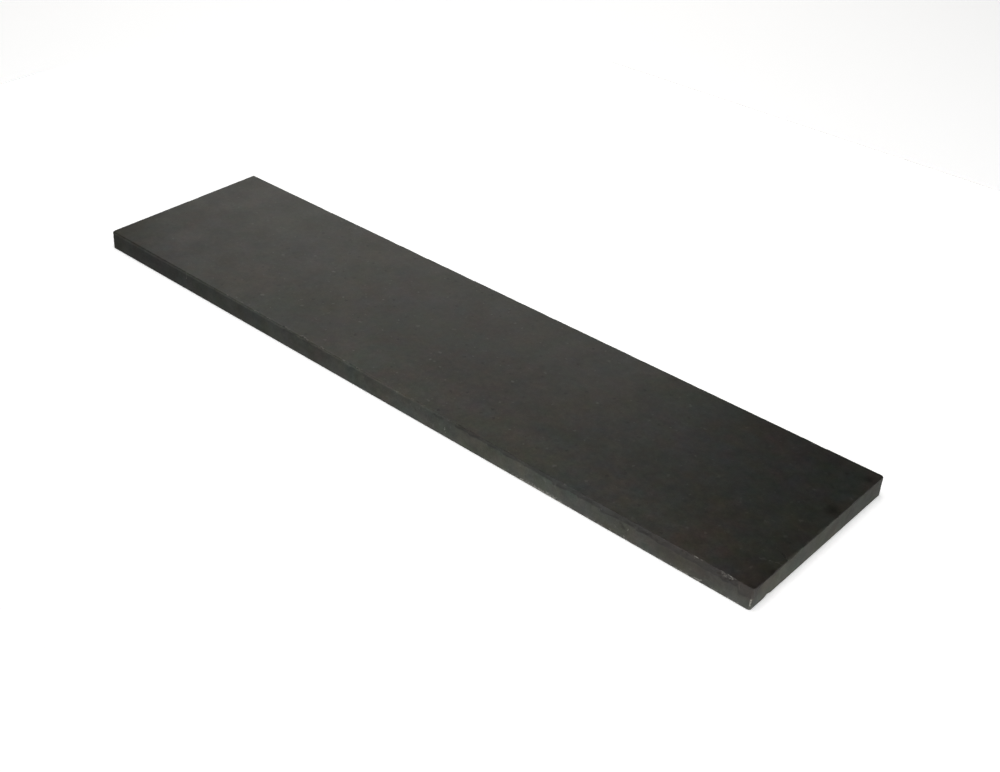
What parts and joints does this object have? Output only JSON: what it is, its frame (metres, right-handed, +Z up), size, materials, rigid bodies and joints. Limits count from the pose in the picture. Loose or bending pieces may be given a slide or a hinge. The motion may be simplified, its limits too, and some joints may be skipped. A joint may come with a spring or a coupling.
{
  "type": "basalt pond edging stone",
  "caption": "Long, thin sawn slab of dark honed basalt that lies flat along a pond's rim, with a broken and chipped front top arris.",
  "frame": {"origin": "the middle of the bed, the flat underside that the stone lies on", "axes": "+X along the stone to its right end, seen from the front; -Y is the front, the long broken edge that faces the water; +Z up, out of the honed top"},
  "size_m": [1, 0.25, 0.025],
  "materials": {
    "basalt": "satin"
  },
  "bodies": {
    "root": {"edging_stone": "basalt"}
  },
  "joints": []
}
